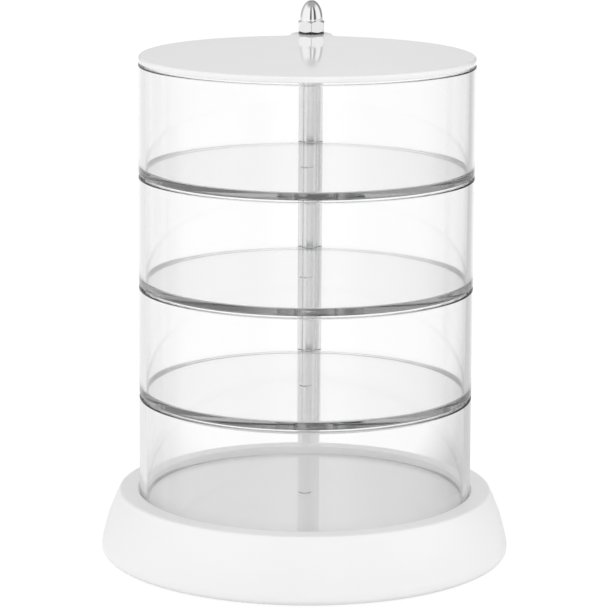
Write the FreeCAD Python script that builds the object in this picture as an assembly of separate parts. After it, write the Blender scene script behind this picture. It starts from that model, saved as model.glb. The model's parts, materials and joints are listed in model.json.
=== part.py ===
import FreeCAD, Part
import math
import os

os.makedirs("parts", exist_ok=True)

# A tower of four round clear trays on a flared white base. A steel rod behind the trays carries
# the three upper trays and the lid, which swing out sideways one by one. The origin is the centre
# of the circle that the feet stand on, +Z is up, and the rod stands on the +Y side. Millimetres.

# Trays
tray_radius = 50.0
tray_height = 32.7
tray_wall = 2.0
tray_floor = 1.8
tray_gap = 0.6
tray_rim_round = 0.5
tray_foot_round = 0.6
tray_floor_round = 0.8
gate_mark_radius = 1.65
gate_mark_height = 0.45
swinging_trays = ["lower_tray", "middle_tray", "upper_tray"]

# Pivot post, whose axis stands behind the trays by the setback
pivot_setback = 5.0
rod_diameter = 5.0
rod_chamfer = 0.5
running_clearance = 0.08
seated_clearance = 0.1
thread_clearance = 0.02
sleeve_wall = 1.32
sleeve_web = 4.0
web_round = 0.6
spacer_play = 0.05

# Lid
lid_thickness = 1.8
lid_ear_radius = 6.7
lid_ear_blend = 4.0
lid_edge_round = 0.9
lid_under_round = 0.3

# Cap nut and the nut in the base
nut_across_flats = 8.0
nut_height = 3.7
nut_chamfer = 0.35
nut_chamfer_angle = 30.0
acorn_shoulder_angle = 35.0
acorn_turn = 30.0
acorn_height = 10.1
acorn_dome_inset = 0.4
acorn_thread_depth = 6.5
nut_washer_thickness = 0.4

# Base, whose deck goes out from the tray seat and whose skirt flares out from the deck
base_height = 19.3
deck_width = 5.6
base_flare = 5.5
base_wall = 2.2
base_edge_round = 1.8
skirt_widest_height = 2.8
skirt_widest_round = 8.0
skirt_bulge = 0.5
deck_drop = 0.1
deck_edge_round = 1.0
seat_depth = 3.6
seat_clearance = 0.4
seat_edge_round = 0.35
column_wall = 1.0
column_edge_round = 0.25
pivot_boss_radius = 7.0
hub_radius = 12.0
rib_count = 8
rib_wall = 1.6
rib_depth = 8.0

# Cover, its screws and the feet
cover_thickness = 2.0
cover_recess = 0.6
cover_clearance = 0.25
cover_edge_round = 0.5
screw_count = 4
screw_inset = 21.5
screw_first_angle = 45.0
screw_diameter = 3.0
screw_head_diameter = 5.6
screw_length = 11.0
screw_slot_width = 0.7
screw_slot_depth = 0.8
screw_boss_wall = 1.9
foot_count = 4
foot_inset = 11.5
foot_radius = 5.0
foot_proud = 0.8
foot_pocket = 0.4
foot_clearance = 0.15
foot_edge_round = 0.4

# Heights and radii that follow from the sizes above
rod_radius = rod_diameter / 2
sleeve_bore = rod_radius + running_clearance
sleeve_radius = sleeve_bore + sleeve_wall
column_bore = rod_radius + seated_clearance
column_radius = column_bore + column_wall
acorn_dome_radius = nut_across_flats / 2 - acorn_dome_inset
pivot_offset = tray_radius + pivot_setback
seat_radius = tray_radius + seat_clearance
deck_radius = seat_radius + deck_width
base_radius = deck_radius + base_flare
screw_circle = base_radius - screw_inset
foot_circle = base_radius - foot_inset
skirt_z = foot_proud
deck_z = skirt_z + base_height
deck_edge_z = deck_z - deck_drop
widest_z = skirt_z + skirt_widest_height
tray_pitch = tray_height + tray_gap
bottom_tray_z = deck_z - seat_depth
ceiling_z = bottom_tray_z - base_wall
column_top_z = bottom_tray_z + tray_height
lid_z = bottom_tray_z + tray_pitch * (len(swinging_trays) + 1)
lid_top_z = lid_z + lid_thickness
acorn_z = lid_top_z + nut_washer_thickness
cover_z = skirt_z + cover_recess
cover_top_z = cover_z + cover_thickness
boss_foot_z = cover_top_z + seated_clearance
rod_nut_z = boss_foot_z + rod_chamfer
rod_nut_top_z = rod_nut_z + nut_height
rod_top_z = acorn_z + acorn_thread_depth - rod_chamfer
spacer_thickness = tray_gap - 2 * spacer_play

# Small allowances of the construction itself
overrun = 1.0
match = 0.001

up = FreeCAD.Vector(0, 0, 1)
pivot = FreeCAD.Vector(0, pivot_offset, 0)


def disc(radius, low_z, high_z, x=0.0, y=0.0):
    """A cylinder about a vertical line through x, y."""
    return Part.makeCylinder(radius, high_z - low_z, FreeCAD.Vector(x, y, low_z), up)


def revolved(edges):
    """A solid of revolution about Z from edges that close a profile in the XZ plane."""
    face = Part.Face(Part.Wire(edges))
    return face.revolve(FreeCAD.Vector(0, 0, 0), up, 360)


def profile_point(radius, z):
    """A point of a profile in the XZ plane."""
    return FreeCAD.Vector(radius, 0, z)


def lines_through(points):
    """Straight edges from each point to the next."""
    return [Part.LineSegment(a, b).toShape() for a, b in zip(points, points[1:])]


def revolved_polygon(points):
    """A solid of revolution about Z from the corners of a profile."""
    corners = [profile_point(radius, z) for radius, z in points]
    return revolved(lines_through(corners + corners[:1]))


def hexagon(across_flats, low_z, high_z):
    """A hexagonal prism on Z with a flat towards +Y and -Y."""
    corner = across_flats / 2 / math.cos(math.pi / 6)
    turns = [k * math.pi / 3 for k in range(7)]
    points = [FreeCAD.Vector(corner * math.cos(a), corner * math.sin(a), low_z) for a in turns]
    return Part.Face(Part.makePolygon(points)).extrude(up * (high_z - low_z))


def edges_at(shape, z):
    """Edges that lie in the level plane at z."""
    return [e for e in shape.Edges if e.BoundBox.ZLength < match and abs(e.BoundBox.ZMin - z) < match]


def circles_at(shape, radius, z):
    """Circular edges of one radius in the level plane at z."""
    round_edges = [e for e in edges_at(shape, z) if isinstance(e.Curve, Part.Circle)]
    return [e for e in round_edges if abs(e.Curve.Radius - radius) < match]


def uprights(shape, height):
    """Straight vertical edges of one height."""
    lines = [e for e in shape.Edges if isinstance(e.Curve, Part.Line) and abs(e.Length - height) < match]
    return [e for e in lines if abs(e.BoundBox.ZLength - height) < match]


def ring_of_places(count, circle, first_angle=0.0):
    """Evenly spaced places on a circle about Z, as x, y pairs."""
    angles = [math.radians(first_angle) + 2 * math.pi * k / count for k in range(count)]
    return [(circle * math.cos(a), circle * math.sin(a)) for a in angles]


def tray_outline(low_z):
    """The outside of a swinging tray: a drum with the pivot sleeve webbed to its back."""
    high_z = low_z + tray_height
    drum = disc(tray_radius, low_z, high_z)
    sleeve = disc(sleeve_radius, low_z, high_z, 0, pivot_offset)
    web_start = FreeCAD.Vector(-sleeve_web / 2, tray_radius - tray_wall, low_z)
    web = Part.makeBox(sleeve_web, pivot_offset - tray_radius + tray_wall, tray_height, web_start)
    outline = drum.fuse([sleeve, web]).removeSplitter()
    lines = uprights(outline, tray_height)
    corners = [e for e in lines if abs(abs(e.CenterOfMass.x) - sleeve_web / 2) < match]
    return outline.makeFillet(web_round, corners)


def hollow_tray(outline, low_z):
    """A tray cut out of its outline, with rounded edges and the gate mark on its floor."""
    high_z = low_z + tray_height
    floor_z = low_z + tray_floor
    body = outline.makeFillet(tray_foot_round, edges_at(outline, low_z))
    body = body.makeFillet(tray_rim_round, edges_at(body, high_z))
    inner_radius = tray_radius - tray_wall
    cavity = disc(inner_radius, floor_z, high_z + overrun)
    cavity = cavity.makeFillet(tray_floor_round, circles_at(cavity, inner_radius, floor_z))
    body = body.cut(cavity)
    body = body.makeFillet(tray_rim_round, circles_at(body, inner_radius, high_z))
    sphere_radius = (gate_mark_radius ** 2 + gate_mark_height ** 2) / (2 * gate_mark_height)
    dome_centre = FreeCAD.Vector(0, 0, floor_z + gate_mark_height - sphere_radius)
    dome = Part.makeSphere(sphere_radius, dome_centre)
    slab = disc(gate_mark_radius * 2, floor_z - tray_floor / 2, floor_z + gate_mark_height + overrun)
    return body.fuse(dome.common(slab))


def make_swinging_tray(low_z):
    """A clear tray with a pivot sleeve that turns on the rod."""
    tray = hollow_tray(tray_outline(low_z), low_z)
    return tray.cut(disc(sleeve_bore, low_z - overrun, low_z + tray_height + overrun, 0, pivot_offset))


def make_bottom_tray():
    """The clear tray that stands in the base, with no sleeve."""
    drum = disc(tray_radius, bottom_tray_z, bottom_tray_z + tray_height)
    return hollow_tray(drum, bottom_tray_z)


def make_lid():
    """The lid: a thin disc with a rounded ear for the rod."""
    plate = disc(tray_radius, lid_z, lid_top_z)
    plate = plate.fuse(disc(lid_ear_radius, lid_z, lid_top_z, 0, pivot_offset)).removeSplitter()
    corners = [e for e in uprights(plate, lid_thickness) if abs(e.CenterOfMass.x) > lid_ear_radius / 2]
    corners = [e for e in corners if e.CenterOfMass.y > 0]
    plate = plate.makeFillet(lid_ear_blend, corners)
    plate = plate.makeFillet(lid_edge_round, edges_at(plate, lid_top_z))
    plate = plate.makeFillet(lid_under_round, edges_at(plate, lid_z))
    return plate.cut(disc(sleeve_bore, lid_z - overrun, lid_top_z + overrun, 0, pivot_offset))


def make_spacer(low_z):
    """A thin washer between two sleeves, with a little end play."""
    bottom = low_z + spacer_play
    ring = disc(sleeve_radius, bottom, bottom + spacer_thickness, 0, pivot_offset)
    return ring.cut(disc(column_bore, bottom - overrun, bottom + spacer_thickness + overrun, 0, pivot_offset))


def chamfered_hexagon(low_z, top_angle):
    """A hex nut blank on Z whose corners are turned off at both ends."""
    flat = nut_across_flats / 2
    corner = flat / math.cos(math.pi / 6)
    high_z = low_z + nut_height
    top_drop = (corner - flat) * math.tan(math.radians(top_angle))
    foot_rise = nut_chamfer + (corner - flat) * math.tan(math.radians(nut_chamfer_angle))
    turned = revolved_polygon([
        (0, low_z),
        (flat - nut_chamfer, low_z),
        (corner, low_z + foot_rise),
        (corner, high_z - top_drop),
        (flat, high_z),
        (0, high_z),
    ])
    return hexagon(nut_across_flats, low_z, high_z).common(turned)


def make_acorn_nut():
    """The cap nut: a chamfered hexagon under a tall oval dome with a blind hole."""
    blank = chamfered_hexagon(acorn_z, acorn_shoulder_angle)
    top = profile_point(0, acorn_z + acorn_height)
    side = profile_point(acorn_dome_radius, acorn_z + nut_height)
    root = profile_point(acorn_dome_radius, acorn_z + nut_height / 2)
    foot = profile_point(0, acorn_z + nut_height / 2)
    oval = Part.Ellipse(top, side, profile_point(0, acorn_z + nut_height))
    crown = Part.ArcOfEllipse(oval, 0, math.pi / 2).toShape()
    dome = revolved([crown] + lines_through([side, root, foot, top]))
    nut = blank.fuse(dome).removeSplitter()
    hole_radius = rod_radius + thread_clearance
    hole = disc(hole_radius, acorn_z - overrun, acorn_z + acorn_thread_depth)
    nut = nut.cut(hole)
    nut.rotate(FreeCAD.Vector(0, 0, 0), up, acorn_turn)
    nut.translate(pivot)
    return nut


def make_nut_washer():
    """The thin washer between the cap nut and the lid."""
    washer = disc(nut_across_flats / 2, lid_top_z, acorn_z, 0, pivot_offset)
    return washer.cut(disc(column_bore, lid_top_z - overrun, acorn_z + overrun, 0, pivot_offset))


def make_rod_nut():
    """The plain hex nut on the rod's lower end."""
    nut = chamfered_hexagon(rod_nut_z, nut_chamfer_angle)
    nut = nut.cut(disc(rod_radius + thread_clearance, rod_nut_z - overrun, rod_nut_top_z + overrun))
    nut.translate(pivot)
    return nut


def make_pivot_rod():
    """The rod from the nut in the base to the cap nut, chamfered at both ends."""
    rod = disc(rod_radius, boss_foot_z, rod_top_z, 0, pivot_offset)
    ends = circles_at(rod, rod_radius, boss_foot_z) + circles_at(rod, rod_radius, rod_top_z)
    return rod.makeChamfer(rod_chamfer, ends)


def flared_body(inset):
    """The base's flared form with its skirt and deck edge moved in by inset, and a level top."""
    low = profile_point(base_radius - inset, skirt_z - (overrun if inset else 0))
    widest = profile_point(base_radius - inset, widest_z)
    edge = profile_point(deck_radius - inset, deck_edge_z - inset)
    across = (edge - widest).cross(FreeCAD.Vector(0, 1, 0)).normalize()
    outwards = across if across.x > 0 else across * -1
    middle = (widest + edge) * 0.5 + outwards * skirt_bulge
    inner_top = profile_point(0, edge.z)
    crown = [inner_top]
    if not inset:
        crown = [profile_point(seat_radius, deck_z), profile_point(0, deck_z)]
    edges = lines_through([profile_point(0, low.z), low, widest])
    edges.append(Part.Arc(widest, middle, edge).toShape())
    edges += lines_through([edge] + crown + [profile_point(0, low.z)])
    return revolved(edges)


def base_bosses():
    """The hub ring, radial ribs, screw bosses and nut boss inside the base."""
    rib_top_z = ceiling_z + base_wall / 2
    rib_foot_z = ceiling_z - rib_depth
    hub_inside = disc(hub_radius - rib_wall, rib_foot_z - overrun, rib_top_z + overrun)
    pieces = [disc(hub_radius, rib_foot_z, rib_top_z).cut(hub_inside)]
    for k in range(rib_count):
        start = FreeCAD.Vector(hub_radius - rib_wall / 2, -rib_wall / 2, rib_foot_z)
        rib = Part.makeBox(base_radius - hub_radius, rib_wall, rib_top_z - rib_foot_z, start)
        rib.rotate(FreeCAD.Vector(0, 0, 0), up, 360 * k / rib_count)
        pieces.append(rib)
    boss_radius = screw_diameter / 2 + screw_boss_wall
    for x, y in ring_of_places(screw_count, screw_circle, screw_first_angle):
        pieces.append(disc(boss_radius, cover_top_z, rib_top_z, x, y))
    pieces.append(disc(pivot_boss_radius, boss_foot_z, deck_edge_z, 0, pivot_offset))
    trim = flared_body(base_wall / 2)
    return [piece.common(trim) for piece in pieces]


def make_base_shell():
    """The base moulding: a flared shell with the tray seat on top and the pivot column behind it."""
    outer = flared_body(0)
    outer = outer.makeFillet(skirt_widest_round, circles_at(outer, base_radius, widest_z))
    outer = outer.makeFillet(base_edge_round, circles_at(outer, base_radius, skirt_z))
    outer = outer.makeFillet(deck_edge_round, circles_at(outer, deck_radius, deck_edge_z))
    seat = disc(seat_radius, bottom_tray_z, deck_z + overrun)
    outer = outer.cut(seat)
    outer = outer.makeFillet(seat_edge_round, circles_at(outer, seat_radius, deck_z))
    seat_plate = disc(seat_radius + base_wall, ceiling_z, deck_z)
    shell = outer.cut(flared_body(base_wall).cut(seat_plate))
    column = disc(column_radius, ceiling_z - base_wall, column_top_z, 0, pivot_offset)
    column = column.makeFillet(column_edge_round, circles_at(column, column_radius, column_top_z))
    shell = shell.fuse(base_bosses() + [column])
    pocket = hexagon(nut_across_flats + 2 * seated_clearance, boss_foot_z - overrun, rod_nut_top_z)
    pocket.translate(pivot)
    cuts = [
        seat,
        disc(column_bore, boss_foot_z - overrun, column_top_z + overrun, 0, pivot_offset),
        pocket,
    ]
    pilot_radius = screw_diameter / 2 + thread_clearance
    pilot_top_z = cover_z + screw_length + seated_clearance
    for x, y in ring_of_places(screw_count, screw_circle, screw_first_angle):
        cuts.append(disc(pilot_radius, cover_z, pilot_top_z, x, y))
    return shell.cut(cuts).removeSplitter()


def countersink(extra, low_z):
    """The cone of a flat screw head with its wide end at low_z, grown by extra all round."""
    head = screw_head_diameter / 2 + extra
    shank = screw_diameter / 2 + extra
    return Part.makeCone(head, shank, head - shank, FreeCAD.Vector(0, 0, low_z), up)


def make_base_cover():
    """The round plate under the base, with countersunk holes and shallow foot pockets."""
    radius = base_radius - base_wall - cover_clearance
    plate = disc(radius, cover_z, cover_top_z)
    plate = plate.makeFillet(cover_edge_round, circles_at(plate, radius, cover_z))
    cuts = []
    for x, y in ring_of_places(screw_count, screw_circle, screw_first_angle):
        sink = countersink(seated_clearance, cover_z)
        sink.translate(FreeCAD.Vector(x, y, 0))
        hole = disc(screw_diameter / 2 + seated_clearance, cover_z - overrun, cover_top_z + overrun, x, y)
        cuts += [sink, hole]
    for x, y in ring_of_places(foot_count, foot_circle):
        cuts.append(disc(foot_radius + foot_clearance, cover_z - overrun, cover_z + foot_pocket, x, y))
    return plate.cut(cuts)


def make_cover_screws():
    """The countersunk cover screws, one solid each, with a cross slot and a conical tip."""
    shank_radius = screw_diameter / 2
    tip_z = cover_z + screw_length - shank_radius
    head = countersink(0, cover_z)
    shank = disc(shank_radius, cover_z + overrun / 2, tip_z)
    tip = Part.makeCone(shank_radius, shank_radius / 4, shank_radius, FreeCAD.Vector(0, 0, tip_z), up)
    screw = head.fuse([shank, tip])
    slot_length = screw_diameter
    for wide, deep in ((slot_length, screw_slot_width), (screw_slot_width, slot_length)):
        corner = FreeCAD.Vector(-wide / 2, -deep / 2, cover_z - overrun)
        screw = screw.cut(Part.makeBox(wide, deep, overrun + screw_slot_depth, corner))
    screws = []
    for x, y in ring_of_places(screw_count, screw_circle, screw_first_angle):
        placed = screw.copy()
        placed.translate(FreeCAD.Vector(x, y, 0))
        screws.append(placed)
    return Part.makeCompound(screws)


def make_foot(x, y):
    """A round rubber pad in its pocket of the cover."""
    pad = disc(foot_radius, 0, cover_z + foot_pocket, x, y)
    return pad.makeFillet(foot_edge_round, circles_at(pad, foot_radius, 0))


def main():
    """Build every piece and write one file for each node."""
    nodes = {
        "base_shell": make_base_shell(),
        "base_cover": make_base_cover(),
        "cover_screws": make_cover_screws(),
        "pivot_rod": make_pivot_rod(),
        "rod_nut": make_rod_nut(),
        "bottom_tray": make_bottom_tray(),
        "lid": make_lid(),
        "nut_washer": make_nut_washer(),
        "acorn_nut": make_acorn_nut(),
    }
    for k, (x, y) in enumerate(ring_of_places(foot_count, foot_circle)):
        nodes["foot_%d" % (k + 1)] = make_foot(x, y)
    for k, name in enumerate(swinging_trays):
        nodes[name] = make_swinging_tray(bottom_tray_z + tray_pitch * (k + 1))
    for k in range(len(swinging_trays) + 1):
        nodes["spacer_washer_%d" % (k + 1)] = make_spacer(column_top_z + tray_pitch * k)
    for name, shape in nodes.items():
        shape.exportStep("parts/%s.step" % name)
        print("%-16s solids %d  valid %s  volume %.1f"
              % (name, len(shape.Solids), shape.isValid(), shape.Volume))


main()
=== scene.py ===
import json
import logging
import math
from collections.abc import Sequence
from dataclasses import dataclass, field
from enum import Enum

import bpy
import numpy as np
from mathutils import Matrix, Vector
from mathutils.geometry import tessellate_polygon


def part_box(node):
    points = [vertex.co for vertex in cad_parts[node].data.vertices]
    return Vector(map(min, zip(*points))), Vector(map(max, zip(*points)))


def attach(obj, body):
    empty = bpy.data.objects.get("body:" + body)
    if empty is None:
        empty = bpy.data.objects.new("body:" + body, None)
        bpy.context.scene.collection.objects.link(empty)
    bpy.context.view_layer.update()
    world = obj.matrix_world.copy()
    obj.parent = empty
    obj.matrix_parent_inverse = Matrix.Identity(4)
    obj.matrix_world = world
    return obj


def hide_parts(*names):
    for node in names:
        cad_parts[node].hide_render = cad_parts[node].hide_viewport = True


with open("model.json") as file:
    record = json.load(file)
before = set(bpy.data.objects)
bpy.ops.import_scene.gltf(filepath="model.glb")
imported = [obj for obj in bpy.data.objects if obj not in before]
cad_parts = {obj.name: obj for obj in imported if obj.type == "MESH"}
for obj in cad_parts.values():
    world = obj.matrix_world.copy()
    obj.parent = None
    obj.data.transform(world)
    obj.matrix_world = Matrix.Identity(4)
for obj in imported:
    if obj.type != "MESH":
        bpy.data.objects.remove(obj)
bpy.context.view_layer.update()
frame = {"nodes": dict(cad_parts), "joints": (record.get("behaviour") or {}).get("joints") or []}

# A tower of four clear round trays with a thin white lid and a flared white base. The three upper
# trays and the lid swing about a steel post behind them. Metres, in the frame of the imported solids.

log = logging.getLogger("tray_tower")

MM = 0.001
WELD = 1e-7
PHOTO_WIDTH = 612
ROUND_STEP = math.radians(1.0)
CORNER_STEP = math.radians(9.0)
FINE_STEP = CORNER_STEP / 2
SHARP_ANGLE = math.radians(32)
QUARTER = math.pi / 2
UP = np.array([0.0, 0.0, 1.0])
WHITE = (1.0, 1.0, 1.0, 1.0)
MICRON_DIGITS = 6
# Point attribute that tells a metal finish where to darken its colour as painted shade.
PAINTED_SHADE_ATTRIBUTE = "painted_shade"


class Slot(Enum):
    """The record's material slots."""

    WHITE_SATIN = "white_satin"
    WHITE_GLOSS = "white_gloss"
    CLEAR_PLASTIC = "clear_plastic"
    POLISHED_CHROME = "polished_chrome"
    ZINC_STEEL = "zinc_steel"
    FOOT_RUBBER = "foot_rubber"


class Body(Enum):
    """The bodies that pieces ride on."""

    BASE = "base"
    LOWER_TIER = "lower_tier"
    MIDDLE_TIER = "middle_tier"
    UPPER_TIER = "upper_tier"
    COVER_LID = "cover_lid"


@dataclass(frozen=True)
class Curve:
    """A sampled plane curve with the unit normal that points out of the material at each point."""

    points: np.ndarray
    normals: np.ndarray


def arc(centre: Sequence[float], radius: float, start: float, end: float,
        step: float = CORNER_STEP, hollow: bool = False) -> Curve:
    """A circular arc: the centre plus the radius times (cos a, sin a), for angles a from start to end.

    Args:
        centre: Centre of the circle.
        radius: Radius of the circle.
        start: First angle in radians.
        end: Last angle in radians.
        step: Largest angle between two points.
        hollow: The material lies outside the circle, so normals point to the centre.

    Returns:
        The sampled arc.
    """
    count = max(2, math.ceil(abs(end - start) / step) + 1)
    angles = np.linspace(start, end, count)
    directions = np.stack([np.cos(angles), np.sin(angles)], axis=1)
    return Curve(np.asarray(centre) + radius * directions, -directions if hollow else directions)


def mirrored(curve: Curve) -> Curve:
    """The curve mirrored across the Y axis and run backwards, so that outlines keep their sense."""
    flip = np.array([-1.0, 1.0])
    return Curve((curve.points * flip)[::-1], (curve.normals * flip)[::-1])


def closed_outline(*curves: Curve) -> Curve:
    """One closed outline through curves in order, with straight runs where their ends lie apart.

    Args:
        curves: Curves that follow each other anticlockwise.

    Returns:
        The outline, with each shared end point kept once.
    """
    points = np.concatenate([c.points for c in curves])
    normals = np.concatenate([c.normals for c in curves])
    apart = np.linalg.norm(points - np.roll(points, -1, axis=0), axis=1) > WELD
    return Curve(points[apart], normals[apart])


def spindle(x: float, y: float, step: float = ROUND_STEP) -> Curve:
    """The outline of a turned piece: every point on the axis, with normals all the way round.

    Args:
        x: Place of the axis from left to right.
        y: Place of the axis from front to back.
        step: Largest angle between two normals.

    Returns:
        The outline, which a profile's offsets turn into circles.
    """
    ring = arc((0.0, 0.0), 1.0, 0.0, 2 * math.pi, step)
    directions = ring.normals[:-1]
    return Curve(np.zeros_like(directions) + np.array([x, y]), directions)


def profile_runs(corners: Sequence[tuple[float, float, float]]) -> list[Curve]:
    """Smooth runs of a profile with rounded corners, in (offset, height).

    Each corner of radius q between directions d and e becomes an arc that starts q tan(turn / 2)
    before the corner. A corner with no radius stays sharp and starts a new run. The material lies
    on the left of the way along the profile.

    Args:
        corners: Offset, height and corner radius of each point in order.

    Returns:
        The runs, each with its normals.
    """
    points = np.array([c[:2] for c in corners], float)
    ways = np.diff(points, axis=0)
    ways /= np.linalg.norm(ways, axis=1, keepdims=True)
    outwards = np.stack([ways[:, 1], -ways[:, 0]], axis=1)
    runs: list[Curve] = []
    run_points, run_normals = [points[:1]], [outwards[:1]]
    for k in range(1, len(corners) - 1):
        before, after, radius = ways[k - 1], ways[k], corners[k][2]
        turn = math.atan2(before[0] * after[1] - before[1] * after[0], float(before @ after))
        if radius == 0:
            run_points.append(points[k:k + 1])
            run_normals.append(outwards[k - 1:k])
            runs.append(Curve(np.concatenate(run_points), np.concatenate(run_normals)))
            run_points, run_normals = [points[k:k + 1]], [outwards[k:k + 1]]
            continue
        side = math.copysign(1.0, turn)
        begin = points[k] - before * radius * math.tan(abs(turn) / 2)
        first = math.atan2(outwards[k - 1][1], outwards[k - 1][0])
        bend = arc(begin - side * radius * outwards[k - 1], radius, first, first + turn)
        offset = bend.normals * radius * (side - 1.0)
        run_points.append(bend.points + offset)
        run_normals.append(bend.normals)
    run_points.append(points[-1:])
    run_normals.append(outwards[-1:])
    runs.append(Curve(np.concatenate(run_points), np.concatenate(run_normals)))
    return runs


@dataclass
class Skin:
    """Patches that together close the surface of one piece, with true normals at every corner."""

    points: list[np.ndarray] = field(default_factory=list)
    normals: list[np.ndarray] = field(default_factory=list)
    quads: list[np.ndarray] = field(default_factory=list)
    triangles: list[np.ndarray] = field(default_factory=list)
    count: int = 0

    def add_points(self, points: np.ndarray, normals: np.ndarray) -> int:
        """Adds points with their normals.

        Args:
            points: An array whose last index is x, y, z.
            normals: The normal at each point.

        Returns:
            The number of the first point added.
        """
        start = self.count
        self.points.append(points.reshape(-1, 3))
        self.normals.append(normals.reshape(-1, 3))
        self.count += self.points[-1].shape[0]
        return start

    def grid(self, points: np.ndarray, normals: np.ndarray) -> None:
        """Quads between neighbours of a grid that closes on itself along its second index.

        Args:
            points: Rows up the profile by columns anticlockwise around, with x, y, z.
            normals: The normal at each point.
        """
        rows, columns = points.shape[:2]
        start = self.add_points(points, normals)
        index = np.arange(rows * columns).reshape(rows, columns) + start
        beside = np.roll(index, -1, axis=1)
        corners = [index[:-1], beside[:-1], beside[1:], index[1:]]
        self.quads.append(np.stack(corners, axis=-1).reshape(-1, 4))

    def sweep(self, outline: Curve, runs: Sequence[Curve]) -> None:
        """Carries a profile round an outline.

        Point (i, j) is outline point j moved along its normal by profile offset i, at profile
        height i. With a spindle as the outline this is a turned surface.

        Args:
            outline: Closed outline in plan.
            runs: Smooth runs of the profile in (offset, height).
        """
        for run in runs:
            plan = outline.points[None] + run.points[:, None, :1] * outline.normals[None]
            height = np.broadcast_to(run.points[:, None, 1:], plan.shape[:2] + (1,))
            side = run.normals[:, None, :1] * outline.normals[None]
            rise = np.broadcast_to(run.normals[:, None, 1:], plan.shape[:2] + (1,))
            self.grid(np.concatenate([plan, height], axis=2), np.concatenate([side, rise], axis=2))

    def cap(self, loops: Sequence[np.ndarray], z: float, facing: float) -> None:
        """A level face inside the first loop, less the loops that follow.

        Args:
            loops: Closed loops of points in plan.
            z: Height of the face.
            facing: 1 for a face that looks up, -1 for one that looks down.
        """
        plan = np.concatenate(loops)
        points = np.column_stack([plan, np.full(len(plan), z)])
        start = self.add_points(points, np.broadcast_to(UP * facing, points.shape))
        faces = np.array(tessellate_polygon([[Vector(p) for p in loop] for loop in loops]))
        first, second, third = (plan[faces[:, k]] for k in range(3))
        along, across = second - first, third - first
        area = along[:, 0] * across[:, 1] - along[:, 1] * across[:, 0]
        faces = np.where((area * facing > 0)[:, None], faces, faces[:, ::-1])
        self.triangles.append(faces[np.abs(area) > WELD * WELD] + start)

    def mesh(self, name: str) -> bpy.types.Object:
        """Welds the patches into one closed mesh and gives its object.

        Args:
            name: Name of the piece.

        Returns:
            The new object, at the origin.
        """
        points, normals = np.concatenate(self.points), np.concatenate(self.normals)
        keys = np.round(points / WELD).astype(np.int64)
        _, first, index = np.unique(keys, axis=0, return_index=True, return_inverse=True)
        index = index.reshape(-1)
        quads = np.concatenate(self.quads)
        same = index[quads] == index[np.roll(quads, -1, axis=1)]
        whole, pinched = quads[~same.any(axis=1)], same.sum(axis=1) == 1
        triangles = [quads[pinched][~same[pinched]].reshape(-1, 3)] + self.triangles
        triangles = np.concatenate(triangles)
        corners = np.concatenate([whole.ravel(), triangles.ravel()])
        sides = np.concatenate([np.full(len(whole), 4), np.full(len(triangles), 3)])
        starts = np.concatenate([[0], np.cumsum(sides)[:-1]])
        mesh = bpy.data.meshes.new(name)
        mesh.vertices.add(len(first))
        mesh.vertices.foreach_set("co", points[first].ravel())
        mesh.loops.add(len(corners))
        mesh.loops.foreach_set("vertex_index", index[corners].astype(np.int32))
        mesh.polygons.add(len(sides))
        mesh.polygons.foreach_set("loop_start", starts.astype(np.int32))
        mesh.polygons.foreach_set("use_smooth", np.ones(len(sides), bool))
        mesh.update(calc_edges=True)
        mesh.normals_split_custom_set(normals[corners].tolist())
        piece = bpy.data.objects.new(name, mesh)
        bpy.context.scene.collection.objects.link(piece)
        return piece


class Nodes:
    """A material's or the world's node tree, filled node by node."""

    def __init__(self, owner: bpy.types.Material | bpy.types.World) -> None:
        """Empties the owner's tree.

        Args:
            owner: The material or world.
        """
        owner.use_nodes = True
        self.owner = owner
        self.tree = owner.node_tree
        self.tree.nodes.clear()

    def add(self, kind: str, inputs: dict | None = None, **settings: object) -> bpy.types.Node:
        """Adds a node.

        Args:
            kind: Node type without the leading "ShaderNode".
            inputs: Sockets by name or number, each with a value or the output that feeds it.
            settings: The node's own options.

        Returns:
            The new node.
        """
        node = self.tree.nodes.new("ShaderNode" + kind)
        for key, value in settings.items():
            setattr(node, key, value)
        for key, value in (inputs or {}).items():
            if isinstance(value, bpy.types.NodeSocket):
                self.tree.links.new(value, node.inputs[key])
            else:
                node.inputs[key].default_value = value
        return node

    def noise(self, scale: float, detail: float = 3.0,
              stretch: Sequence[float] = (1, 1, 1)) -> bpy.types.NodeSocket:
        """Noise on the piece's own coordinates.

        Args:
            scale: Waves per metre.
            detail: Octaves of finer noise.
            stretch: Factors on the three axes.

        Returns:
            The noise value.
        """
        place = self.add("TexCoord")
        sized = self.add("Mapping", {"Vector": place.outputs["Object"], "Scale": tuple(stretch)})
        made = self.add("TexNoise", {"Vector": sized.outputs[0], "Scale": scale, "Detail": detail})
        return made.outputs[0]

    def ranged(self, value: bpy.types.NodeSocket, low: float, high: float,
               start: float = 0.3, end: float = 0.7) -> bpy.types.NodeSocket:
        """A value spread from low to high as the input goes from start to end."""
        spread = {"Value": value, "From Min": start, "From Max": end, "To Min": low, "To Max": high}
        return self.add("MapRange", spread).outputs[0]

    def bump(self, height: bpy.types.NodeSocket, distance: float) -> bpy.types.NodeSocket:
        """A bumped normal from a height between 0 and 1 and its real depth in metres."""
        return self.add("Bump", {"Height": height, "Distance": distance, "Strength": 1.0}).outputs[0]

    def finish(self, surface: bpy.types.NodeSocket, volume: bpy.types.NodeSocket | None = None) -> None:
        """Links the output node.

        Args:
            surface: The finished shader.
            volume: What fills the piece, where something does.
        """
        kind = "OutputWorld" if isinstance(self.owner, bpy.types.World) else "OutputMaterial"
        out = self.add(kind, {"Surface": surface})
        if volume is not None:
            self.tree.links.new(volume, out.inputs["Volume"])


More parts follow.
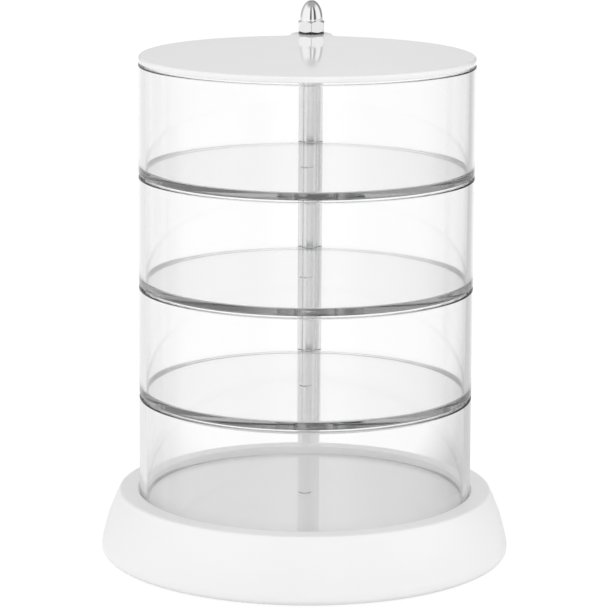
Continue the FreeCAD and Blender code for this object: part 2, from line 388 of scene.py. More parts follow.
@dataclass(frozen=True)
class WhitePlastic:
    """Moulded white plastic with a fine grain."""

    slot: Slot
    colour: tuple[float, float, float, float]
    shade: float
    rough: tuple[float, float]
    grain_scale: float
    grain_depth: float
    grain_detail: float = 4.0
    drift_scale: float = 45.0
    ior: float = 1.5

    def material(self) -> bpy.types.Material:
        """The finish: roughness and tone that drift over centimetres, and a moulded grain as bump.

        Returns:
            The material.
        """
        nodes = Nodes(bpy.data.materials.new(self.slot.value))
        drift = nodes.noise(self.drift_scale)
        darker = tuple(c * self.shade for c in self.colour[:3]) + (1.0,)
        tone = nodes.add("Mix", {"Factor": drift, 6: darker, 7: self.colour}, data_type="RGBA")
        grain = nodes.noise(self.grain_scale, self.grain_detail)
        surface = nodes.add("BsdfPrincipled", {
            "Base Color": tone.outputs[2],
            "Roughness": nodes.ranged(drift, *self.rough),
            "Normal": nodes.bump(grain, self.grain_depth),
            "IOR": self.ior,
        })
        nodes.finish(surface.outputs[0])
        return nodes.owner


@dataclass(frozen=True)
class ClearPlastic:
    """Polished clear plastic: it takes away a little light over each millimetre of its depth."""

    slot: Slot
    ior: float
    absorbed_per_metre: float
    rough: float
    passed: float = 0.96

    def material(self) -> bpy.types.Material:
        """The finish: refraction with absorption, and a clear way for lamps and soft light.

        Returns:
            The material.
        """
        nodes = Nodes(bpy.data.materials.new(self.slot.value))
        body = nodes.add("BsdfPrincipled", {
            "Base Color": WHITE,
            "Roughness": self.rough,
            "IOR": self.ior,
            "Transmission Weight": 1.0,
        })
        path = nodes.add("LightPath")
        soft = {0: path.outputs["Is Shadow Ray"], 1: path.outputs["Is Diffuse Ray"]}
        passing = nodes.add("Math", soft, operation="MAXIMUM")
        through = nodes.add("BsdfTransparent", {"Color": (self.passed,) * 3 + (1.0,)})
        mixed = nodes.add("MixShader", {0: passing.outputs[0], 1: body.outputs[0], 2: through.outputs[0]})
        volume = nodes.add("VolumeAbsorption", {
            "Color": (0.0, 0.0, 0.0, 1.0),
            "Density": self.absorbed_per_metre,
        })
        nodes.finish(mixed.outputs[0], volume.outputs[0])
        return nodes.owner


@dataclass(frozen=True)
class BrightMetal:
    """Bright metal with faint tool marks round its axis, and painted shade that darkens it where the piece
    carries the attribute for it.
    """

    slot: Slot
    colour: tuple[float, float, float, float]
    # Share of the colour kept where painted shade darkens the metal.
    painted_shade: float
    rough: tuple[float, float]
    mark_scale: float
    mark_depth: float
    mark_detail: float = 2.0
    mark_stretch: tuple[float, float, float] = (0.05, 0.05, 1.0)
    smear_scale: float = 350.0

    def material(self) -> bpy.types.Material:
        """The finish: a metal whose roughness drifts, with marks that run round the upright axis, darkened as
        painted shade where the piece carries the attribute.

        Returns:
            The material.
        """
        nodes = Nodes(bpy.data.materials.new(self.slot.value))
        marks = nodes.noise(self.mark_scale, self.mark_detail, self.mark_stretch)
        smear = nodes.noise(self.smear_scale)
        # Painted shade: the colour darkens where the piece carries the attribute.
        painted_shade_mask = nodes.add("Attribute", attribute_name=PAINTED_SHADE_ATTRIBUTE)
        darker = tuple(c * self.painted_shade for c in self.colour[:3]) + (1.0,)
        tone = nodes.add("Mix", {"Factor": painted_shade_mask.outputs["Fac"], 6: self.colour, 7: darker}, data_type="RGBA")
        surface = nodes.add("BsdfPrincipled", {
            "Base Color": tone.outputs[2],
            "Metallic": 1.0,
            "Roughness": nodes.ranged(smear, *self.rough),
            "Normal": nodes.bump(marks, self.mark_depth),
        })
        nodes.finish(surface.outputs[0])
        return nodes.owner


@dataclass(frozen=True)
class SoftRubber:
    """Pale matte rubber."""

    slot: Slot
    colour: tuple[float, float, float, float]
    rough: tuple[float, float] = (0.6, 0.85)
    grain_scale: float = 2500.0
    grain_detail: float = 5.0
    grain_depth: float = 0.08 * MM

    def material(self) -> bpy.types.Material:
        """The finish: a dull surface with a coarse grain.

        Returns:
            The material.
        """
        nodes = Nodes(bpy.data.materials.new(self.slot.value))
        grain = nodes.noise(self.grain_scale, self.grain_detail)
        surface = nodes.add("BsdfPrincipled", {
            "Base Color": self.colour,
            "Roughness": nodes.ranged(grain, *self.rough),
            "Normal": nodes.bump(grain, self.grain_depth),
        })
        nodes.finish(surface.outputs[0])
        return nodes.owner


def make_finishes() -> dict[Slot, bpy.types.Material]:
    """One material for each slot.

    Returns:
        The materials by slot.
    """
    finishes = (
        WhitePlastic(Slot.WHITE_SATIN, (0.9, 0.9, 0.9, 1.0), 0.985, (0.34, 0.44), 2600.0, 0.012 * MM),
        WhitePlastic(Slot.WHITE_GLOSS, (0.9, 0.9, 0.9, 1.0), 0.99, (0.05, 0.09), 900.0, 0.001 * MM),
        ClearPlastic(Slot.CLEAR_PLASTIC, 1.5, 9.0, 0.0),
        # Painted shade leaves chrome as it is (1.0) and darkens zinc steel to 0.12 of its colour.
        BrightMetal(Slot.POLISHED_CHROME, (0.9, 0.9, 0.91, 1.0), 1.0, (0.03, 0.08), 4000.0, 0.001 * MM),
        BrightMetal(Slot.ZINC_STEEL, (0.92, 0.92, 0.93, 1.0), 0.12, (0.28, 0.31), 6000.0, 0.0003 * MM),
        SoftRubber(Slot.FOOT_RUBBER, (0.7, 0.7, 0.7, 1.0)),
    )
    return {finish.slot: finish.material() for finish in finishes}


@dataclass
class Assembly:
    """What every sub-assembly shares: its finishes and the way a piece is put in place."""

    finishes: dict[Slot, bpy.types.Material]

    def place(self, piece: bpy.types.Object, slot: Slot, body: Body, *nodes: str) -> bpy.types.Object:
        """Gives a new piece its finish and body, in place of solids of the frame.

        Args:
            piece: The new object.
            slot: Its finish.
            body: What it moves with.
            nodes: The solids that it stands for.

        Returns:
            The same object.
        """
        piece.data.materials.clear()
        piece.data.materials.append(self.finishes[slot])
        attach(piece, body.value)
        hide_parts(*nodes)
        log.info("%s: %d faces, rides on %s", piece.name, len(piece.data.polygons), body.value)
        return piece

    def dress(self, node: str, slot: Slot) -> None:
        """Gives a solid of the frame its finish.

        Args:
            node: The solid, which stays as it is.
            slot: Its finish.
        """
        solid = frame["nodes"][node]
        solid.data.materials.clear()
        solid.data.materials.append(self.finishes[slot])
        log.info("%s: solid kept, dressed as %s", node, slot.value)


def pivot_offset() -> float:
    """How far behind the trays' centre line the post stands, from the frame's joints."""
    return float(frame["joints"][0]["pos_m"][1])


def heights(node: str) -> tuple[float, float]:
    """Lowest and highest level of a solid of the frame."""
    low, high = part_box(node)
    return round(low.z, MICRON_DIGITS), round(high.z, MICRON_DIGITS)


@dataclass
class ClearTray(Assembly):
    """A clear round tray, with a pivot sleeve at its back where it swings."""

    node: str = "bottom_tray"
    body: Body = Body.BASE
    swings: bool = False
    radius: float = 50.0 * MM
    wall: float = 2.0 * MM
    floor: float = 1.8 * MM
    rim_round: float = 0.5 * MM
    foot_round: float = 0.6 * MM
    floor_round: float = 0.8 * MM
    gate_radius: float = 1.75 * MM
    gate_height: float = 0.25 * MM
    gate_round: float = 0.12 * MM
    sleeve_radius: float = 3.9 * MM
    sleeve_bore: float = 2.49 * MM
    web_half: float = 2.0 * MM
    web_round: float = 0.6 * MM

    def outline(self) -> Curve:
        """The tray in plan: its drum, and for a swinging tray the sleeve and the web that carries it.

        Each of the web's four inner corners is an arc that touches the web's side and the drum or
        the sleeve, so its centre lies one rounding from the web and from that circle.

        Returns:
            The closed outline.
        """
        if not self.swings:
            return closed_outline(arc((0.0, 0.0), self.radius, -QUARTER, 3 * QUARTER, ROUND_STEP))
        pivot = pivot_offset()
        reach = self.web_half + self.web_round
        low_y = math.sqrt((self.radius + self.web_round) ** 2 - reach ** 2)
        high_y = pivot - math.sqrt((self.sleeve_radius + self.web_round) ** 2 - reach ** 2)
        drum_end = math.atan2(low_y, reach)
        sleeve_start = math.atan2(high_y - pivot, reach)
        drum = arc((0.0, 0.0), self.radius, math.pi - drum_end, 2 * math.pi + drum_end, ROUND_STEP)
        root = arc((reach, low_y), self.web_round, drum_end + math.pi, math.pi, hollow=True)
        neck = arc((reach, high_y), self.web_round, math.pi, sleeve_start + math.pi, hollow=True)
        sleeve = arc((0.0, pivot), self.sleeve_radius, sleeve_start, math.pi - sleeve_start, FINE_STEP)
        return closed_outline(drum, root, neck, sleeve, mirrored(neck), mirrored(root))

    def build(self) -> bpy.types.Object:
        """The tray's surface: outside, foot, rim, inside with its floor and gate mark, and the bore.

        Returns:
            The new object.
        """
        low, high = heights(self.node)
        inner = self.radius - self.wall
        floor = low + self.floor
        outline = self.outline()
        skin = Skin()
        skin.sweep(outline, profile_runs([
            (-self.foot_round, low, 0),
            (0, low, self.foot_round),
            (0, high, self.rim_round),
            (-self.rim_round, high, 0),
        ]))
        axis = spindle(0.0, 0.0)
        skin.sweep(axis, profile_runs([
            (inner + self.rim_round, high, 0),
            (inner, high, self.rim_round),
            (inner, floor, self.floor_round),
            (self.gate_radius + self.gate_round, floor, 0),
            (self.gate_radius, floor + self.gate_height, self.gate_round),
            (0, floor + self.gate_height, 0),
        ]))
        holes = []
        if self.swings:
            bore = spindle(0.0, pivot_offset(), FINE_STEP)
            skin.sweep(bore, profile_runs([(self.sleeve_bore, high, 0), (self.sleeve_bore, low, 0)]))
            holes = [bore.points + self.sleeve_bore * bore.normals]
        skin.cap([outline.points - self.foot_round * outline.normals] + holes, low, -1.0)
        mouth = (inner + self.rim_round) * axis.normals
        skin.cap([outline.points - self.rim_round * outline.normals, mouth] + holes, high, 1.0)
        piece = skin.mesh("clear_" + self.node)
        return self.place(piece, Slot.CLEAR_PLASTIC, self.body, self.node)


@dataclass
class Lid(Assembly):
    """The thin white lid with a rounded ear for the post."""

    radius: float = 50.0 * MM
    ear_radius: float = 6.7 * MM
    ear_blend: float = 4.0 * MM
    edge_round: float = 0.9 * MM
    under_round: float = 0.3 * MM
    bore: float = 2.58 * MM

    def outline(self) -> Curve:
        """The lid in plan: a disc and its ear, with a hollow arc that touches both on each side.

        Returns:
            The closed outline.
        """
        pivot = pivot_offset()
        far, near = self.radius + self.ear_blend, self.ear_radius + self.ear_blend
        y = (pivot ** 2 + far ** 2 - near ** 2) / (2 * pivot)
        x = math.sqrt(far ** 2 - y ** 2)
        disc_end = math.atan2(y, x)
        ear_start = math.atan2(y - pivot, x)
        disc = arc((0.0, 0.0), self.radius, math.pi - disc_end, 2 * math.pi + disc_end, ROUND_STEP)
        blend = arc((x, y), self.ear_blend, disc_end + math.pi, ear_start + math.pi, hollow=True)
        ear = arc((0.0, pivot), self.ear_radius, ear_start, math.pi - ear_start, FINE_STEP)
        return closed_outline(disc, blend, ear, mirrored(blend))

    def build(self) -> bpy.types.Object:
        """The lid's surface: a rounded edge carried round the outline, both faces and the hole.

        Returns:
            The new object.
        """
        low, high = heights("lid")
        outline = self.outline()
        bore = spindle(0.0, pivot_offset(), FINE_STEP)
        hole = bore.points + self.bore * bore.normals
        skin = Skin()
        skin.sweep(outline, profile_runs([
            (-self.under_round, low, 0),
            (0, low, self.under_round),
            (0, high, self.edge_round),
            (-self.edge_round, high, 0),
        ]))
        skin.sweep(bore, profile_runs([(self.bore, high, 0), (self.bore, low, 0)]))
        skin.cap([outline.points - self.under_round * outline.normals, hole], low, -1.0)
        skin.cap([outline.points - self.edge_round * outline.normals, hole], high, 1.0)
        return self.place(skin.mesh("white_lid"), Slot.WHITE_GLOSS, Body.COVER_LID, "lid")


@dataclass
class Base(Assembly):
    """The flared base moulding with the tray seat and the post's column, its cover, screws and feet."""

    radius: float = 61.5 * MM
    deck_radius: float = 56.0 * MM
    seat_radius: float = 50.4 * MM
    skirt_z: float = 0.8 * MM
    widest_z: float = 3.6 * MM
    seat_depth: float = 3.6 * MM
    deck_drop: float = 0.1 * MM
    wall: float = 2.2 * MM
    bulge: float = 1.0 * MM
    foot_edge_round: float = 1.8 * MM
    widest_round: float = 8.0 * MM
    bulge_round: float = 50.0 * MM
    deck_edge_round: float = 1.0 * MM
    seat_edge_round: float = 0.35 * MM
    tray_air: float = 0.05 * MM
    column_radius: float = 3.6 * MM
    column_bore: float = 2.6 * MM
    column_edge_round: float = 0.25 * MM

    def build(self) -> bpy.types.Object:
        """The moulding as one turned shell with its column, and the dressed solids under it.

        Returns:
            The moulding.
        """
        shell = self.shell()
        column = self.column()
        join(shell, column)
        self.place(shell, Slot.WHITE_SATIN, Body.BASE, "base_shell")
        self.dress("base_cover", Slot.WHITE_SATIN)
        self.dress("cover_screws", Slot.ZINC_STEEL)
        for node in sorted(n for n in frame["nodes"] if n.startswith("foot_")):
            self.dress(node, Slot.FOOT_RUBBER)
        return shell

    def shell(self) -> bpy.types.Object:
        """The turned shell: skirt, deck, seat and the hollow under them.

        The skirt bulges out of the straight line from its widest level to the deck's edge, by a
        corner in the middle of that line with a wide rounding.

        Returns:
            The shell, closed.
        """
        tray_z = heights("bottom_tray")[0]
        deck_z = tray_z + self.seat_depth
        edge_z = deck_z - self.deck_drop
        seat_z = tray_z - self.tray_air
        ceiling_z = seat_z - self.wall
        swell = Vector((edge_z - self.widest_z, self.radius - self.deck_radius)).normalized() * self.bulge
        middle_r = (self.radius + self.deck_radius) / 2
        middle_z = (self.widest_z + edge_z) / 2
        skin = Skin()
        skin.sweep(spindle(0.0, 0.0), profile_runs([
            (self.radius - self.wall, self.skirt_z, 0),
            (self.radius, self.skirt_z, self.foot_edge_round),
            (self.radius, self.widest_z, self.widest_round),
            (middle_r + swell.x, middle_z + swell.y, self.bulge_round),
            (self.deck_radius, edge_z, self.deck_edge_round),
            (self.seat_radius, deck_z, self.seat_edge_round),
            (self.seat_radius, seat_z, 0),
            (0, seat_z, 0),
        ]))
        skin.sweep(spindle(0.0, 0.0), profile_runs([
            (0, ceiling_z, 0),
            (self.seat_radius + self.wall, ceiling_z, 0),
            (self.seat_radius + self.wall, edge_z - self.wall, 0),
            (self.deck_radius - self.wall, edge_z - self.wall, 0),
            (middle_r + swell.x - self.wall, middle_z + swell.y, self.bulge_round),
            (self.radius - self.wall, self.widest_z, self.widest_round),
            (self.radius - self.wall, self.skirt_z, 0),
        ]))
        return skin.mesh("white_base")

    def column(self) -> bpy.types.Object:
        """The post's column, from under the seat up to the bottom tray's rim.

        Returns:
            The column, closed.
        """
        top = heights("bottom_tray")[1]
        foot = heights("bottom_tray")[0] - 2 * self.wall
        skin = Skin()
        skin.sweep(spindle(0.0, pivot_offset(), FINE_STEP), profile_runs([
            (self.column_bore, foot, 0),
            (self.column_radius, foot, 0),
            (self.column_radius, top, self.column_edge_round),
            (self.column_bore, top, 0),
            (self.column_bore, foot, 0),
        ]))
        return skin.mesh("white_column")


def join(piece: bpy.types.Object, added: bpy.types.Object) -> None:
    """Fuses one closed mesh into another and removes the second.

    Args:
        piece: The mesh that grows.
        added: The mesh that goes into it.
    """
    union = piece.modifiers.new("union", "BOOLEAN")
    union.operation = "UNION"
    union.solver = "MANIFOLD"
    union.object = added
    graph = bpy.context.evaluated_depsgraph_get()
    fused = bpy.data.meshes.new_from_object(piece.evaluated_get(graph))
    piece.modifiers.clear()
    piece.data = fused
    fused.set_sharp_from_angle(angle=SHARP_ANGLE)
    bpy.data.objects.remove(added)


@dataclass
class Post(Assembly):
    """The steel post: its rod, the washers between the sleeves, the cap nut and the nut in the base."""

    rod_radius: float = 2.5 * MM
    rod_chamfer: float = 0.5 * MM
    washer_radius: float = 3.9 * MM
    washer_bore: float = 2.6 * MM
    washer_edge: float = 0.1 * MM
    nut_washer_radius: float = 4.0 * MM
    flat: float = 4.0 * MM
    nut_height: float = 3.7 * MM
    nut_chamfer: float = 0.35 * MM
    foot_slope: float = 0.73
    shoulder_slope: float = math.tan(math.radians(45))
    dome_radius: float = 3.6 * MM
    thread_depth: float = 6.5 * MM
    thread_radius: float = 2.52 * MM
    hexagon_power: float = 44.0
    hexagon_points: int = 480
    turned_step: float = CORNER_STEP / 3
    dome_step: float = CORNER_STEP / 4

    def build(self) -> None:
        """All pieces of the post."""
        low, high = heights("pivot_rod")
        self.turned("steel_rod", Slot.ZINC_STEEL, "pivot_rod", [
            (0, low, 0),
            (self.rod_radius - self.rod_chamfer, low, 0),
            (self.rod_radius, low + self.rod_chamfer, 0),
            (self.rod_radius, high - self.rod_chamfer, 0),
            (self.rod_radius - self.rod_chamfer, high, 0),
            (0, high, 0),
        ])
        for node in sorted(n for n in frame["nodes"] if n.startswith("spacer_washer_")):
            self.washer("steel_" + node, node, self.washer_radius)
        self.washer("steel_nut_washer", "nut_washer", self.nut_washer_radius)
        self.cap_nut()
        self.dress("rod_nut", Slot.ZINC_STEEL)

    def turned(self, name: str, slot: Slot, node: str, corners: Sequence[tuple[float, float, float]]
               ) -> bpy.types.Object:
        """A piece turned about the post's axis from the corners of its profile.

        Args:
            name: Name of the piece.
            slot: Its finish.
            node: The solid that it stands for.
            corners: Offset, height and corner radius of each point of the profile.

        Returns:
            The new object.
        """
        skin = Skin()
        skin.sweep(spindle(0.0, pivot_offset(), self.turned_step), profile_runs(corners))
        return self.place(skin.mesh(name), slot, Body.BASE, node)

    def washer(self, name: str, node: str, radius: float) -> None:
        """A thin ring with broken edges, darkened all over as painted shade for the shadowed gaps under the
        cap nut and between the sleeves.

        Args:
            name: Name of the piece.
            node: The solid that it stands for.
            radius: Its outer radius.
        """
        low, high = heights(node)
        ring = self.turned(name, Slot.ZINC_STEEL, node, [
            (self.washer_bore, low, 0),
            (radius, low, self.washer_edge),
            (radius, high, self.washer_edge),
            (self.washer_bore, high, 0),
            (self.washer_bore, low, 0),
        ])
        # The whole washer carries painted shade.
        painted_shade_marks = ring.data.attributes.new(PAINTED_SHADE_ATTRIBUTE, "FLOAT", "POINT")
        painted_shade_marks.data.foreach_set("value", np.ones(len(ring.data.vertices), np.float32))

    def hexagon(self) -> Curve:
        """A hexagon with softened corners: the sum over three axes of |n . p| to a power is constant.

        Its normal is the gradient of that sum. A corner points to the front and to the back.

        Returns:
            The closed outline about the origin.
        """
        angles = np.linspace(0, 2 * math.pi, self.hexagon_points, endpoint=False)
        ways = np.stack([np.cos(angles), np.sin(angles)], axis=1)
        faces = np.arange(3) * math.pi / 3
        axes = np.stack([np.cos(faces), np.sin(faces)], axis=1)
        along = ways @ axes.T
        power = self.hexagon_power
        reach = self.flat / (np.abs(along) ** power).sum(axis=1) ** (1 / power)
        slope = (np.abs(along) ** (power - 1) * np.sign(along)) @ axes
        slope /= np.linalg.norm(slope, axis=1, keepdims=True)
        return Curve(ways * reach[:, None], slope)

    def cap_nut(self) -> None:
        """The cap nut: a hexagon between two turned chamfers, a shoulder and a tall oval dome.

        The chamfer is a cone, so it meets the hexagon at a height that falls with the distance of
        each outline point from the axis. The dome's profile is a quarter of an ellipse, the radius
        times cos a out and the height times sin a up, with normals along (cos a / radius, sin a / height).
        """
        low, high = heights("acorn_nut")
        top = low + self.nut_height
        hexagon = self.hexagon()
        reach = np.linalg.norm(hexagon.points, axis=1)
        ways = hexagon.points / reach[:, None]
        centre = np.array([0.0, pivot_offset()])
        foot_r = self.flat - self.nut_chamfer
        flat_top = np.minimum(top - (reach - self.flat) * self.shoulder_slope, top)
        flat_foot = low + (reach - foot_r) * self.foot_slope
        level = np.zeros_like(reach)

        def ring(radius: np.ndarray | float, height: np.ndarray | float) -> np.ndarray:
            """Points at a distance from the axis, at a height."""
            plan = centre + ways * (level + radius)[:, None]
            return np.column_stack([plan, level + height])

        def leaning(out: float, rise: float) -> np.ndarray:
            """Normals of a cone that leans out and up by these shares."""
            lean = np.column_stack([ways * out, level + rise])
            return lean / np.linalg.norm(lean, axis=1, keepdims=True)

        sides = np.column_stack([hexagon.normals, level])
        shoulder = ring(np.minimum(reach, self.flat), top)
        skin = Skin()
        bands = (
            (ring(self.thread_radius, low), ring(foot_r, low), leaning(0.0, -1.0)),
            (ring(foot_r, low), ring(reach, flat_foot), leaning(self.foot_slope, -1.0)),
            (ring(reach, flat_foot), ring(reach, flat_top), sides),
            (ring(reach, flat_top), shoulder, leaning(self.shoulder_slope, 1.0)),
            (shoulder, ring(self.dome_radius, top), leaning(0.0, 1.0)),
        )
        for below, above, normal in bands:
            skin.grid(np.stack([below, above]), np.stack([normal, normal]))
        around = Curve(np.zeros_like(ways) + centre, ways)
        rise = arc((0.0, 0.0), 1.0, 0.0, QUARTER, self.dome_step).points
        size = np.array([self.dome_radius, high - top])
        slope = rise / size
        slope /= np.linalg.norm(slope, axis=1, keepdims=True)
        skin.sweep(around, [Curve(rise * size + np.array([0.0, top]), slope)])
        skin.sweep(around, profile_runs([
            (0, low + self.thread_depth, 0),
            (self.thread_radius, low + self.thread_depth, 0),
            (self.thread_radius, low, 0),
        ]))
        self.place(skin.mesh("chrome_cap_nut"), Slot.POLISHED_CHROME, Body.BASE, "acorn_nut")


@dataclass
class PhotoCamera:
    """The camera at the photograph's place, from a fit to the edges of trays, lid and base."""

    place: tuple[float, float, float] = (9.71 * MM, -902.57 * MM, 262.44 * MM)
    pitch: float = math.radians(11.679)
    roll: float = math.radians(0.36)
    yaw: float = math.radians(-0.614)
    swing: float = math.radians(0.6)
    focal_pixels: float = 3072.1
    sensor: float = 36.0

    def build(self) -> bpy.types.Object:
        """Makes it the scene's camera.

        Returns:
            The camera object.
        """
        forward = Vector((
            math.sin(self.yaw) * math.cos(self.pitch),
            math.cos(self.yaw) * math.cos(self.pitch),
            -math.sin(self.pitch),
        ))
        level = Vector((math.cos(self.yaw), -math.sin(self.yaw), 0.0))
        upright = level.cross(forward)
        right = level * math.cos(self.roll) + upright * math.sin(self.roll)
        above = upright * math.cos(self.roll) - level * math.sin(self.roll)
        data = bpy.data.cameras.new("photo_camera")
        data.sensor_width = self.sensor
        data.lens = self.focal_pixels * self.sensor / PHOTO_WIDTH
        camera = bpy.data.objects.new("photo_camera", data)
        turn = Matrix((right, above, -forward)).transposed().to_4x4()
        camera.matrix_world = (
            Matrix.Rotation(self.swing, 4, "Z") @ Matrix.Translation(Vector(self.place)) @ turn
        )
        bpy.context.scene.collection.objects.link(camera)
        bpy.context.scene.camera = camera
        return camera


@dataclass
class Studio:
    """White floor, a room that is white or dim by turns, and two wide soft lamps.

    A turn is an angle about the object in degrees, 0 to the front and plus to the right.
    """

    floor_radius: float = 8.0
    floor_step: float = math.radians(5)
    floor_glow: float = 0.95
    floor_matte: float = 0.1
    floor_bounce: float = 0.8
    floor_turns: tuple[tuple[float, float], ...] = (
        (-180, 1.0), (-163, 1.0), (-152, 0.82), (-105, 0.82), (-85, 1.02), (-40, 1.02), (-20, 1.1),
        (20, 1.1), (40, 0.76), (85, 0.76), (105, 0.58), (152, 0.58), (163, 1.0), (180, 1.0),
    )
    room_turns: tuple[tuple[float, float], ...] = (
        (-180, 0.95), (-165, 0.7), (-110, 0.65), (-100, 1.0), (-16, 1.0), (-12, 0.15), (2, 0.15), (6, 0.95),
        (24, 0.95), (28, 0.1), (44, 0.1), (55, 0.95), (104, 1.0), (116, 0.35), (165, 0.35), (180, 0.95),
    )
    strip_limit: float = 0.2
    strip_through: float = 0.6
    mirror_turns: tuple[tuple[float, float], ...] = (
        (-180, 0.76), (-140, 0.76), (-115, 1.0), (115, 1.0), (140, 0.76), (180, 0.76),
    )
    zenith: float = 0.42
    soft_zenith: float = 0.55
    zenith_start: float = 0.6
    zenith_end: float = 0.85
    fill: float = 0.45
    lamp_distance: float = 1.8
    lamp_size: float = 1.3
    lamps: tuple[tuple[float, float], ...] = ((-55.0, 8.0), (68.0, 9.5))
    lamp_rise: float = 31.0
    bounces: int = 32
    mirror_bounces: int = 24
    clear_bounces: int = 64

    def build(self) -> None:
        """Floor, world, lamps and the view's plain colour handling."""
        self.floor()
        self.world()
        for k, (turn, watts) in enumerate(self.lamps):
            self.lamp("soft_lamp_%d" % (k + 1), math.radians(turn), watts)
        scene = bpy.context.scene
        scene.view_settings.view_transform = "Standard"
        scene.cycles.max_bounces = self.bounces
        scene.cycles.transmission_bounces = self.bounces
        scene.cycles.glossy_bounces = self.mirror_bounces
        scene.cycles.transparent_max_bounces = self.clear_bounces

    @staticmethod
    def by_turn(nodes: Nodes, parts: bpy.types.Node,
                turns: Sequence[tuple[float, float]]) -> bpy.types.NodeSocket:
        """A level that changes with the turn about the object.

        Args:
            nodes: The tree to work in.
            parts: The node that gives the place or direction as x, y, z.
            turns: Turn in degrees and level, in order.

        Returns:
            The level.
        """
        front = nodes.add("Math", {0: parts.outputs[1], 1: -1.0}, operation="MULTIPLY")
        turn = nodes.add("Math", {0: parts.outputs[0], 1: front.outputs[0]}, operation="ARCTAN2")
        share = nodes.ranged(turn.outputs[0], 0.0, 1.0, -math.pi, math.pi)
        ramp = nodes.add("ValToRGB", {0: share})
        stops = ramp.color_ramp.elements
        for k, (angle, level) in enumerate(turns):
            place = (angle + 180) / 360
            last = k == len(turns) - 1
            stop = stops[0] if k == 0 else stops[len(stops) - 1] if last else stops.new(place)
            stop.position = place
            stop.color = (level, level, level, 1.0)
        return ramp.outputs[0]

    @staticmethod
    def either(nodes: Nodes, *rays: str) -> bpy.types.NodeSocket:
        """1 for a ray of any of the kinds named, and 0 for others.

        Args:
            nodes: The tree to work in.
            rays: Outputs of the light path node.

        Returns:
            The factor.
        """
        path = nodes.add("LightPath")
        found = path.outputs[rays[0]]
        for ray in rays[1:]:
            found = nodes.add("Math", {0: found, 1: path.outputs[ray]}, operation="MAXIMUM").outputs[0]
        return found

    def floor(self) -> None:
        """A wide white disc that keeps a faint shadow, dims by turns in mirrors and is clear from below."""
        ring = spindle(0.0, 0.0, self.floor_step)
        skin = Skin()
        skin.sweep(ring, profile_runs([(self.floor_radius, 0.0, 0), (0.0, 0.0, 0)]))
        floor = skin.mesh("studio_floor")
        nodes = Nodes(bpy.data.materials.new("studio_white"))
        place = nodes.add("TexCoord")
        parts = nodes.add("SeparateXYZ", {0: place.outputs["Object"]})
        sides = self.by_turn(nodes, parts, self.floor_turns)
        bent = self.either(nodes, "Is Glossy Ray", "Is Transmission Ray")
        level = nodes.add("Mix", {0: bent, 2: 1.0, 3: sides})
        shine = nodes.add("Math", {0: level.outputs[0], 1: self.floor_glow}, operation="MULTIPLY")
        glow = nodes.add("Emission", {"Color": WHITE, "Strength": shine.outputs[0]})
        matte = nodes.add("BsdfDiffuse", {"Color": (self.floor_matte,) * 3 + (1,)})
        seen = nodes.add("AddShader", {0: glow.outputs[0], 1: matte.outputs[0]})
        bounce = nodes.add("BsdfDiffuse", {"Color": (self.floor_bounce,) * 3 + (1,)})
        sharp = self.either(nodes, "Is Camera Ray", "Is Glossy Ray", "Is Transmission Ray")
        direct = nodes.add("MixShader", {0: sharp, 1: bounce.outputs[0], 2: seen.outputs[0]})
        clear = nodes.add("BsdfTransparent", {"Color": WHITE})
        side = nodes.add("NewGeometry")
        both = {0: side.outputs["Backfacing"], 1: direct.outputs[0], 2: clear.outputs[0]}
        nodes.finish(nodes.add("MixShader", both).outputs[0])
        floor.data.materials.append(nodes.owner)

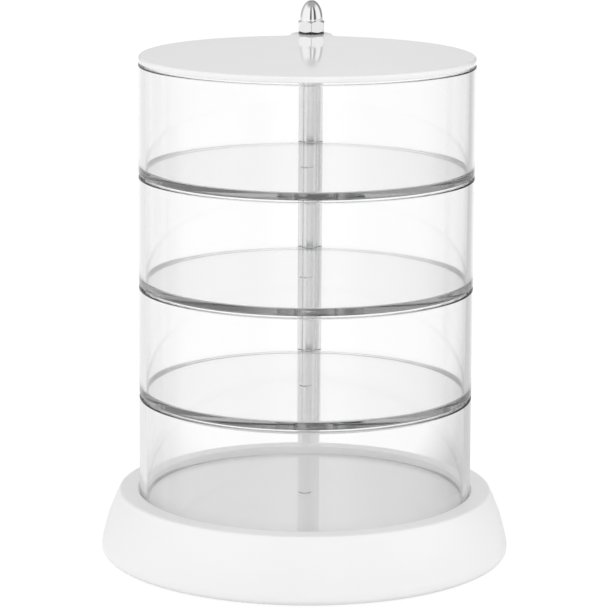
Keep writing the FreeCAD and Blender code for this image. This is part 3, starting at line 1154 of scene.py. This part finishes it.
    def world(self) -> None:
        """White for the camera, and elsewhere walls by turns under a dim ceiling.

        The walls are lifted for soft light. A mirror shows two dark strips in front and a dimmer wall
        behind, and through clear pieces the strips are paler.
        """
        world = bpy.data.worlds.new("studio")
        bpy.context.scene.world = world
        nodes = Nodes(world)
        way = nodes.add("TexCoord")
        parts = nodes.add("SeparateXYZ", {0: way.outputs["Generated"]})
        around = self.by_turn(nodes, parts, self.room_turns)
        overhead = nodes.ranged(parts.outputs[2], 0.0, 1.0, self.zenith_start, self.zenith_end)
        lifted = {0: around, 1: 1.0 - self.fill, 2: self.fill}
        soft = nodes.add("Math", lifted, operation="MULTIPLY_ADD")
        ray = nodes.add("LightPath")
        bounce = {0: ray.outputs["Is Glossy Ray"], 1: ray.outputs["Is Transmission Ray"]}
        direct = nodes.add("Math", bounce, operation="SUBTRACT", use_clamp=True)
        paler = [(turn, self.strip_through if level < self.strip_limit else level)
                 for turn, level in self.room_turns]
        clear = self.by_turn(nodes, parts, paler)
        sharp = nodes.add("Mix", {0: direct.outputs[0], 2: clear, 3: around})
        bent = self.either(nodes, "Is Glossy Ray", "Is Transmission Ray")
        walls = nodes.add("Mix", {0: bent, 2: soft.outputs[0], 3: sharp.outputs[0]})
        ceiling = nodes.add("Mix", {0: bent, 2: self.soft_zenith, 3: self.zenith})
        level = nodes.add("Mix", {0: overhead, 2: walls.outputs[0], 3: ceiling.outputs[0]})
        behind = self.by_turn(nodes, parts, self.mirror_turns)
        mirror = nodes.add("Mix", {0: direct.outputs[0], 2: 1.0, 3: behind})
        strength = nodes.add("Math", {0: level.outputs[0], 1: mirror.outputs[0]}, operation="MULTIPLY")
        room = nodes.add("Background", {"Color": WHITE, "Strength": strength.outputs[0]})
        white = nodes.add("Background", {"Color": WHITE, "Strength": 1.0})
        plain = self.either(nodes, "Is Camera Ray")
        mixed = nodes.add("MixShader", {0: plain, 1: room.outputs[0], 2: white.outputs[0]})
        nodes.finish(mixed.outputs[0])

    def lamp(self, name: str, turn: float, watts: float) -> None:
        """A square soft lamp that points at the foot of the object and shows in no mirror.

        Args:
            name: Name of the lamp.
            turn: Its angle about the object from the front, in radians.
            watts: Its strength.
        """
        rise = math.radians(self.lamp_rise)
        flat = math.cos(rise)
        back = Vector((math.sin(turn) * flat, -math.cos(turn) * flat, math.sin(rise)))
        data = bpy.data.lights.new(name, "AREA")
        data.energy = watts
        data.size = self.lamp_size
        lamp = bpy.data.objects.new(name, data)
        lamp.location = back * self.lamp_distance
        lamp.rotation_euler = back.to_track_quat("Z", "Y").to_euler()
        lamp.visible_camera = False
        lamp.visible_glossy = False
        lamp.visible_transmission = False
        bpy.context.scene.collection.objects.link(lamp)


def main() -> None:
    """Builds the camera, the studio and every sub-assembly."""
    logging.basicConfig(level=logging.INFO, format="%(name)s %(message)s")
    PhotoCamera().build()
    Studio().build()
    finishes = make_finishes()
    Base(finishes).build()
    ClearTray(finishes).build()
    tiers = {
        "lower_tray": Body.LOWER_TIER,
        "middle_tray": Body.MIDDLE_TIER,
        "upper_tray": Body.UPPER_TIER,
    }
    for node, body in tiers.items():
        ClearTray(finishes, node, body, True).build()
    Lid(finishes).build()
    Post(finishes).build()


if __name__ == "__main__":
    main()
